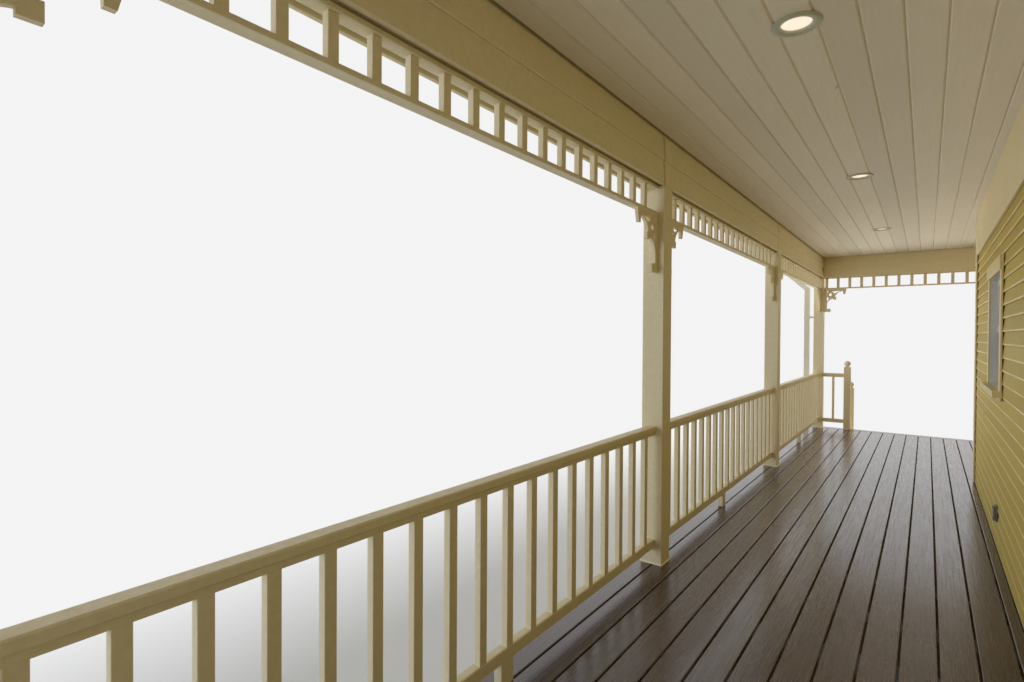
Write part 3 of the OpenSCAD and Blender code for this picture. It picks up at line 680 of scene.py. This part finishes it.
def turned(name, profile, look):  # a profile of radius and height, turned about every light's middle
    shape = bmesh.new()
    for spot in lightSpots():
        verts = [shape.verts.new(spot + Vector((r, 0, z))) for r, z in profile]
        edges = [shape.edges.new(pair) for pair in zip(verts, verts[1:])]
        bmesh.ops.spin(shape, geom=verts + edges, cent=spot, axis=(0, 0, 1), angle=2 * math.pi,
                       steps=lightWork["steps"], use_merge=True)
    bmesh.ops.remove_doubles(shape, verts=shape.verts, dist=small["weld"])
    bmesh.ops.recalc_face_normals(shape, faces=shape.faces)
    thing = newPiece(name, shape, look)
    thing.data.shade_smooth()
    thing.data.set_sharp_from_angle(angle=math.radians(lightWork["sharp"]))
    return thing


def makeLights():
    settle(turned("light_rings", lightWork["profile"], "light_ring"), "light_plastic", "ceiling_lights")
    settle(turned("light_lenses", lightWork["lensProfile"], "light_lens"), "light_plastic")


makeCeiling()
makeLights()
print("ceiling boarded")

# the rounded nose of each cladding board takes the edge colour: a painted highlight line
beamWork = {"boards": 2, "butt": 0.018, "lean": 0.010, "lap": 0.006, "recess": 0.011, "joint": 0.022,
            "jointPast": 0.012, "nose": [(-0.0045, 0), (-0.0013, 0.0013), (0, 0.0045)], "ease": 0.002,
            "lip": 0.019, "lipRise": 0.012, "behind": 0.001}


def makeBeams():
    b, e = beamWork, beamWork["ease"]
    height = (ceilingZ - beamZ) / b["boards"]
    lapped = height + b["lap"]
    outline = b["nose"] + [(-b["lean"], lapped), (-b["butt"], lapped), (-b["butt"], 0)]
    upperOutline = [(out, min(rise, height)) for out, rise in outline]
    outerHeight = beamTop - ceilingZ
    outerOutline = [(-e, 0), (0, e), (0, outerHeight), (-b["butt"], outerHeight), (-b["butt"], 0)]
    faces = [  # start, end, places of the open joints along it, with the outside on the left
        ((endX, postY), (0, postY), [bayPitch * i + b["jointPast"] for i in (3, 2, 1)]),
        ((0, beamY), (endX, beamY), [bayPitch * i + postWidth / 2 for i in (1, 2)]),
        ((0, 0), (0, beamY), []), ((postWidth, postY), (postWidth, 0), []),
        ((endX, beamY), (endX, recessY), []), ((lastX, recessY), (lastX, postY), [])]
    lower, upper = [], []
    for start, end, joints in faces:
        step = b["joint"] / 2 if end[0] > start[0] else -b["joint"] / 2
        stops = [start] + [(x + side * step, start[1]) for x in joints for side in (-1, 1)] + [end]
        for first, last in zip(stops[::2], stops[1::2]):
            lower.append((at(*first, beamZ), at(*last, beamZ)))
            upper.append((at(*first, beamZ + height), at(*last, beamZ + height)))
    outer = [(at(0, 0, ceilingZ), at(0, beamY, ceilingZ)),
             (at(endX, beamY, ceilingZ), at(endX, recessY, ceilingZ))]
    lips = [(at(i * bayPitch + postWidth, beamY, lipZ), at((i + 1) * bayPitch, beamY, lipZ))
            for i in range(3)]
    rise, back = beamZ - lipZ + b["lipRise"], -b["lip"]
    lipOutline = [(-1.5 * e, 0.0), (-e, e), (-e, rise), (back, rise), (back, e), (back + e, 0)]
    clad = join("beam_cladding", [sweep("clad_low", lower, outline, "trim_paint", 2),
                                  sweep("clad_high", upper, upperOutline, "trim_paint", 3),
                                  sweep("clad_top", outer, outerOutline, "trim_paint", 4),
                                  sweep("outer_lip", lips, lipOutline, "trim_paint", 5)])
    t, z0, z1 = b["butt"] - b["behind"], beamZ + b["recess"], beamTop  # the cores show in the open joints
    cores = blocks("beam_cores", [
        (at(t, postY + t, z0), at(endX - t, beamY - t, z1)),
        (at(t, 0, z0), at(postWidth - t, postY + t, z1)),
        (at(lastX + t, recessY, z0), at(endX - t, postY + t, z1))], "trim_paint", e)
    settle(clad, "trim_paint", "front_beam", "end_beams")
    settle(cores, "trim_paint")


makeBeams()
print("beams clad")

friezeWork = {"ease": 0.002, "rail": 0.019, "width": 0.056, "inFrom": 0.038, "slat": 0.038,
              "slatDepth": 0.028, "slatIn": 0.013, "lead": 0.037, "pitch": 0.1593}


def makeFriezes():
    f = friezeWork
    z0, z1 = span("frieze_1")[0].z, beamZ
    railMid = f["inFrom"] + f["width"] / 2
    slatMid = f["inFrom"] + f["slatIn"] + f["slatDepth"] / 2
    panels = [((i * bayPitch + postWidth, postY), (1, 0), (0, 1), bayPitch - postWidth) for i in range(3)]
    panels += [((postWidth, postWidth), (0, 1), (-1, 0), postY - postWidth),
               ((lastX, postY), (0, -1), (1, 0), postY - recessY - postWidth)]
    parts, rails = [], []
    for number, (start, along, outwards, length) in enumerate(panels):
        start, along, outwards = at(*start, 0), Vector((*along, 0)), Vector((*outwards, 0))
        count = math.floor((length - f["lead"] - f["slat"] / 2) / f["pitch"]) + 1
        first = start + outwards * slatMid + along * f["lead"] + Vector((0, 0, z0 + f["rail"] / 2))
        last = first + along * f["pitch"] * (count - 1)
        parts.append(barRow("slats", first, last, count, f["slat"], f["slatDepth"], z1 - z0 - f["rail"],
                            f["ease"], "trim_paint", number))
        for z in (z0, z1 - f["rail"]):
            foot = start + outwards * railMid + Vector((0, 0, z))
            rails.append((foot, foot + along * length))
    parts.append(sweep("frieze_rails", rails, easedBox(f["width"], f["rail"], f["ease"]), "trim_paint"))
    panel = join("frieze_panels", parts)
    return settle(panel, "trim_paint", "frieze_1", "frieze_2", "frieze_3", "end_friezes")


makeFriezes()
print("friezes made")

railWork = {"cap": 0.064, "capThick": 0.034, "capEase": 0.005, "sub": 0.024, "subEase": 0.002, "rail": 0.042,
            "low": 0.058, "lowEase": 0.004, "baluster": 0.043, "balusterDepth": 0.030, "ease": 0.0025,
            "inset": 0.0012, "pitch": 0.175, "blockPlaces": (0.522, 0.433, 0.5), "endBlock": 0.5,
            "overlap": 0.006, "blockUp": 0.012, "blockEase": 0.003}


def makeRailings():
    r = railWork
    panel, near, far = span("railing_1"), span("railing_near"), span("railing_far")
    top, lowZ = panel[1].z, far[0].z
    midY, nearX, farX = ((p[0][i] + p[1][i]) / 2 for p, i in ((panel, 1), (near, 0), (far, 0)))
    short = postY - span("newels")[1].y
    clear = bayPitch - postWidth
    lengths = [((i * bayPitch + postWidth, midY), (1, 0), (0, -1), clear, r["blockPlaces"][i])
               for i in range(3)]
    lengths += [((nearX, postWidth), (0, 1), (1, 0), postY - postWidth, r["endBlock"]),
                ((farX, postY), (0, -1), (-1, 0), short, None),
                ((farX, recessY + postWidth), (0, 1), (-1, 0), short, None)]
    parts, caps, subs, lows, feet = [], [], [], [], []
    inner = r["rail"] / 2 - r["balusterDepth"] / 2 - r["inset"]
    for number, (start, along, inwards, length, place) in enumerate(lengths):
        start, along, inwards = at(*start, 0), Vector((*along, 0)), Vector((*inwards, 0))
        for group, z in ((caps, top - r["capThick"]), (subs, top - r["capThick"] - r["sub"]), (lows, lowZ)):
            group.append((start + Vector((0, 0, z)), start + along * length + Vector((0, 0, z))))
        count = max(math.floor(length / r["pitch"]), 1)
        lead = (length - (count - 1) * r["pitch"]) / 2
        foot = start + inwards * inner + along * lead + Vector((0, 0, lowZ + r["low"] / 2))
        last = foot + along * r["pitch"] * (count - 1)
        height = top - r["capThick"] - r["sub"] / 2 - lowZ - r["low"] / 2
        parts.append(barRow("balusters", foot, last, count, r["baluster"], r["balusterDepth"], height,
                            r["ease"], "trim_paint", number))
        if place:
            middle = start + along * length * place
            reach = along * r["baluster"] + inwards * r["rail"] / 2
            reach = Vector((abs(reach.x), abs(reach.y), 0)) - Vector((small["play"], small["play"], 0))
            feet.append((middle - reach + Vector((0, 0, deckTop)),
                         middle + reach + Vector((0, 0, lowZ + r["blockUp"]))))
    for name, runs, width, thick, ease, seed in (
            ("caps", caps, r["cap"], r["capThick"], r["capEase"], 4),
            ("subrails", subs, r["rail"], r["sub"] + r["overlap"], r["subEase"], 5),
            ("low_rails", lows, r["rail"], r["low"], r["lowEase"], 6)):
        parts.append(sweep(name, runs, easedBox(width, thick, ease), "trim_paint", seed))
    nodes = ["railing_1", "railing_2", "railing_3", "railing_near", "railing_far"]
    settle(join("railings", parts), "trim_paint", *nodes)
    settle(blocks("rail_feet", feet, "trim_paint", r["blockEase"]), "trim_paint")


makeRailings()
print("railings made")

postWork = {"ease": 0.004, "bead": 0.007, "profile": [(0, 0), (1, 0), (0.85, 0.5), (0.5, 0.85), (0, 1)],
            "newelEase": 0.003, "bracketEase": 0.002, "bracketAngle": 35}


def makePosts():
    p = postWork
    nodes = ["post_1", "post_2", "post_3", "post_4", "wall_posts"]
    settle(softCopy("posts", nodes, "trim_paint", p["ease"]), "trim_paint", *nodes)
    runs = []
    for low, high in [span(n) for n in nodes[:4]] + looseBoxes("wall_posts"):
        corners = [(high.x, low.y), (low.x, low.y), (low.x, high.y), (high.x, high.y), (high.x, low.y)]
        runs += [(at(*first, deckTop), at(*last, deckTop)) for first, last in zip(corners, corners[1:])]
    bead = [(out * p["bead"], rise * p["bead"]) for out, rise in p["profile"]]
    settle(sweep("post_beads", runs, bead, "trim_paint"), "trim_paint")
    for name, nodes, ease, angle in (
            ("newel_posts", ["newels", "stair_posts"], p["newelEase"], 40),
            ("scroll_brackets", ["front_brackets", "end_brackets"], p["bracketEase"], p["bracketAngle"]),
            ("stair_rail_panels", ["stair_railings"], p["newelEase"], 40)):
        settle(softCopy(name, nodes, "trim_paint", ease, angle), "trim_paint", *nodes)


makePosts()
print("posts and brackets made")

roofWork = {"slope": 0.25, "exposure": 0.139, "headLap": 0.030, "tab": 0.305, "gap": 0.007, "butt": 0.0075,
            "under": 0.009, "near": 0.002, "thin": 0.0015, "stray": 0.03, "leastTab": 0.02, "lastRow": 0.05,
            "seed": 21}
gableWork = {"topCourse": 0.03, "shortest": 0.02, "seed": 8}


def roofDeck(topZ):  # the slab stands back under the shingles, with the ceiling's paint on its underside
    shape = cadShape("roof_slab")
    for vert in shape.verts:
        if abs(vert.co.z - topZ(vert.co.y - yZero)) < roofWork["near"]:
            vert.co.z -= roofWork["under"]
    for face in shape.faces:
        facesDown = face.normal.z < -0.5
        face.material_index = 1 if facesDown else 0
    slab = newPiece("roof_deck", shape, "shingles")
    slab.data.materials.append(finish["ceiling_paint"])
    return slab


def makeRoof():
    r = roofWork
    low, high = span("roof_slab")

    def topZ(y):
        return high.z - r["slope"] * (y - recessY)

    slab = roofDeck(topZ)
    chance = random.Random(r["seed"])
    reach = r["exposure"] + r["headLap"]
    lift = reach * r["slope"]
    runs, y, row = [], high.y, 0
    while y > recessY + r["lastRow"]:
        nextY = y - r["exposure"]
        start = low.x if nextY > 0.0 else cornerX
        x = start - (row % 2) * r["tab"] / 2 - chance.uniform(0, r["stray"])
        while x < high.x:
            a, b = max(x, start), min(x + r["tab"] - r["gap"], high.x)
            if b - a > r["leastTab"]:
                z = topZ(y) - r["under"]
                runs.append((at(a, y, z), at(b, y, z)))
            x += r["tab"]
        y, row = nextY, row + 1
    runs = [run for run in runs if run[0].y - yZero - reach > recessY]
    outline = [(0, 0), (0, r["butt"]), (-reach, lift + r["thin"]), (-reach, lift)]
    tabs = sweep("shingle_tabs", runs, outline, "shingles", r["seed"])
    settle(join("roof_shingles", [slab, tabs]), "shingles", "roof_slab")


def makeGables():  # lap siding on the two triangles over the end beams, cut along the rafters
    s, r = siding, roofWork
    high = span("roof_ends")[1]
    runs, z = [], beamTop
    while z < high.z - gableWork["topCourse"]:
        for x, inner, first in ((0.0, 0.0, True), (endX, recessY, False)):
            reach = min(recessY + (high.z - z) / r["slope"], beamY)
            if reach > inner + gableWork["shortest"]:
                run = (at(x, inner, z), at(x, reach, z))
                runs.append(run if first else run[::-1])
        z += s["exposure"]
    outline = [(out + s["butt"], rise) for out, rise in sidingOutline]
    boards = sweep("gable_siding", runs, outline, "siding_paint", gableWork["seed"])
    shape = bmesh.new()
    shape.from_mesh(boards.data)
    bmesh.ops.bisect_plane(shape, geom=shape.verts[:] + shape.edges[:] + shape.faces[:],
                           plane_co=at(0, recessY, high.z), plane_no=(0, r["slope"], 1), clear_outer=True)
    bmesh.ops.holes_fill(shape, edges=[e for e in shape.edges if e.is_boundary])
    shape.to_mesh(boards.data)
    shape.free()
    settle(boards, "siding_paint")


soffitWork = {"pitch": 0.1225, "groove": 0.004, "depth": 0.005, "play": 0.0004, "seed": 6}


def makeSoffit():
    c = soffitWork
    low, high = span("soffit")
    count = round((high.y - low.y) / c["pitch"])
    width = (high.y - low.y) / count
    mids = [low.y + (i + 0.5) * (high.y - low.y) / count for i in range(count)]
    runs = [(at(low.x, y, low.z), at(high.x, y, low.z)) for y in mids]
    outline = groovedBoard(width, high.z - low.z, c)
    settle(sweep("soffit_boards", runs, outline, "ceiling_paint", c["seed"]), "ceiling_paint", "soffit")


makeRoof()
makeGables()
makeSoffit()
print("roof covered")

stairWork = {"gap": 0.006, "ease": 0.004}


def makeTreads():
    parts = []
    for low, high in looseBoxes("stair_treads"):
        width = (high.x - low.x - stairWork["gap"]) / 2
        runs = [(at(x, low.y, low.z), at(x, high.y, low.z)) for x in (low.x + width / 2, high.x - width / 2)]
        board = easedBox(width, high.z - low.z, stairWork["ease"])
        parts.append(sweep("tread", runs, board, "deck_stain", len(parts)))
    settle(join("tread_boards", parts), "deck_stain", "stair_treads")


outletWork = {"plate": 0.008, "lidInset": 0.006, "lid": 0.022, "ease": 0.002,
              "hinge": (0.012, 0.020, 0.010),  # in from the sides, down from the top, thickness
              "latch": (0.030, 0.010, 0.018, 0.002)}  # in from the sides, foot, head, back from the front


def makeOutlet():
    o = outletWork
    low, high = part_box("outlet_cover")
    inset = Vector((o["lidInset"], 0, o["lidInset"]))
    plate = (low, Vector((high.x, low.y + o["plate"], high.z)))
    lid = (low + inset, Vector((high.x, low.y + o["lid"], high.z)) - inset)
    side, down, thick = o["hinge"]
    hinge = (Vector((low.x + side, low.y, high.z - down)),
             Vector((high.x - side, high.y, high.z - down + thick)))
    side, foot, head, short = o["latch"]
    latch = (Vector((low.x + side, low.y, low.z + foot)),
             Vector((high.x - side, high.y - short, low.z + head)))
    box = blocks("outlet_box", [plate, lid, hinge, latch], "outlet_plastic", o["ease"])
    settle(box, "outlet_plastic", "outlet_cover")


makeTreads()
makeOutlet()
for name, node, look, slot, ease in (
        ("wall_bands", "wall_trim", "band_paint", "trim_paint", 0.0015),
        ("window_frame", "window_casing", "casing_paint", "trim_paint", 0.002),
        ("sashes", "window_sashes", "sash_plastic", "sash_plastic", 0.003),
        ("eave_boards", "fascia", "trim_paint", "trim_paint", 0.002),
        ("gutter_sheet", "gutter", "white_metal", "white_metal", 0.0008),
        ("downspout_pipe", "downspout", "white_metal", "white_metal", 0.006),
        ("deck_skirt", "rim_joists", "trim_paint", "trim_paint", 0.003),
        ("stringers", "stair_stringers", "trim_paint", "trim_paint", 0.003),
        ("riser_boards", "stair_risers", "trim_paint", "trim_paint", 0.002),
        ("joists_below", "floor_joists", "bare_wood", "bare_wood", 0.003),
        ("roof_rafters", "rafters", "bare_wood", "bare_wood", 0.002),
        ("post_footings", "footings", "concrete", "concrete", 0.010)):
    settle(softCopy(name, [node], look, ease), slot, node)
for node, look in (("roof_ends", "siding_paint"), ("window_glass", "window_glass")):
    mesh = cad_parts[node].data
    mesh.materials.clear()
    mesh.materials.append(finish[look])
print("trim and carried-over parts finished")

# pale floor, plain surroundings and soft boxes: along the open front, at the far end and behind the eye
studio = {"floor": (236, 235, 231), "rough": 0.9, "size": 90, "fade": (0.9, 2.8), "backdrop": 0.90,
          "sky": 0.30, "skyTint": (0.95, 0.985, 1.03), "white": (1.0, 1.0, 1.0), "cool": (0.88, 0.96, 1.14)}
softBoxes = {  # place, what it points at, size, watts and tint
    "front_low": ((4.8, 7.0, 0.9), (4.8, 0.1, 3.2), (13, 3), 80, "white"),
    "far_front": ((10.8, 6.0, 1.1), (8.6, 0.4, 3.3), (4, 3), 115, "white"),
    "far_end": ((14.5, 0.9, 1.1), (9.4, 0.6, 3.3), (3, 3), 240, "white"),
    "stair_side": ((10.5, 7.0, 5.0), (9.0, 1.0, 0.5), (4, 3), 85, "white"),
    "behind_out": ((-6.5, 5.6, 2.4), (3.0, 1.9, 1.9), (4, 3), 210, "cool"),
    "sky_side": ((4.5, 9.5, 6.0), (4.5, 1.8, 1.2), (14, 4), 120, "cool")}


def makeFloor():
    mesh = bpy.data.meshes.new("studio_floor")
    s = studio["size"]
    mesh.from_pydata([(-s, -s, 0), (s, -s, 0), (s, s, 0), (-s, s, 0)], [], [(0, 1, 2, 3)])
    floor = bpy.data.objects.new("studio_floor", mesh)
    scene.collection.objects.link(floor)
    paint = bpy.data.materials.new("floor_paint")
    paint.use_nodes = True
    tree = paint.node_tree
    shader = next(n for n in tree.nodes if n.type == "BSDF_PRINCIPLED")
    shader.inputs["Base Color"].default_value = rgb(studio["floor"])
    shader.inputs["Roughness"].default_value = studio["rough"]
    # away from the porch the camera sees the backdrop's plain tone, so no horizon shows
    place = addNode(tree, "ShaderNodeTexCoord").outputs["Object"]
    away = addNode(tree, "ShaderNodeVectorMath", {"operation": "ABSOLUTE"}, Vector=place).outputs["Vector"]
    half = (Vector(cadHigh) - Vector(cadLow)) / 2
    away = vectorMath(tree, "MAXIMUM", vectorMath(tree, "SUBTRACT", away, (half.x, half.y, 0)), (0, 0, 0))
    distance = addNode(tree, "ShaderNodeVectorMath", {"operation": "LENGTH"}, Vector=away).outputs["Value"]
    seen = tree.nodes.new("ShaderNodeLightPath").outputs["Is Camera Ray"]
    fade = multiply(tree, remap(tree, distance, *studio["fade"]), seen)
    plain = addNode(tree, "ShaderNodeEmission", None, Color=(1, 1, 1, 1), Strength=studio["backdrop"])
    blend = blendShaders(tree, fade, shader.outputs["BSDF"], plain.outputs["Emission"])
    plug(tree, blend, tree.nodes["Material Output"].inputs["Surface"])
    mesh.materials.append(paint)


def makeLamps():
    for name, (place, aim, size, power, tint) in softBoxes.items():
        lamp = bpy.data.lights.new(name, "AREA")
        lamp.shape, lamp.energy, lamp.color = "RECTANGLE", power, studio[tint]
        lamp.size, lamp.size_y = size
        thing = bpy.data.objects.new(name, lamp)
        scene.collection.objects.link(thing)
        thing.visible_camera = thing.visible_glossy = False
        thing.location = at(*place)
        thing.rotation_euler = (at(*aim) - at(*place)).to_track_quat("-Z", "Y").to_euler()


def makeWorld():  # the camera and reflections see the backdrop, everything else is lit by the dimmer sky
    world = bpy.data.worlds.new("studio")
    scene.world = world
    world.use_nodes = True
    tree = world.node_tree
    sky = tree.nodes["Background"]
    sky.inputs["Color"].default_value = (*studio["skyTint"], 1)
    sky.inputs["Strength"].default_value = studio["sky"]
    backdrop = addNode(tree, "ShaderNodeBackground", None, Color=(1, 1, 1, 1), Strength=studio["backdrop"])
    path = tree.nodes.new("ShaderNodeLightPath")
    seen = addNode(tree, "ShaderNodeMath", {"operation": "MAXIMUM"})
    plug(tree, path.outputs["Is Camera Ray"], seen.inputs[0])
    plug(tree, path.outputs["Is Glossy Ray"], seen.inputs[1])
    both = sky.outputs["Background"], backdrop.outputs["Background"]
    plug(tree, blendShaders(tree, seen.outputs["Value"], *both), tree.nodes["World Output"].inputs["Surface"])


makeFloor()
makeLamps()
makeWorld()
scene.view_settings.view_transform = "Standard"
print("studio lit")
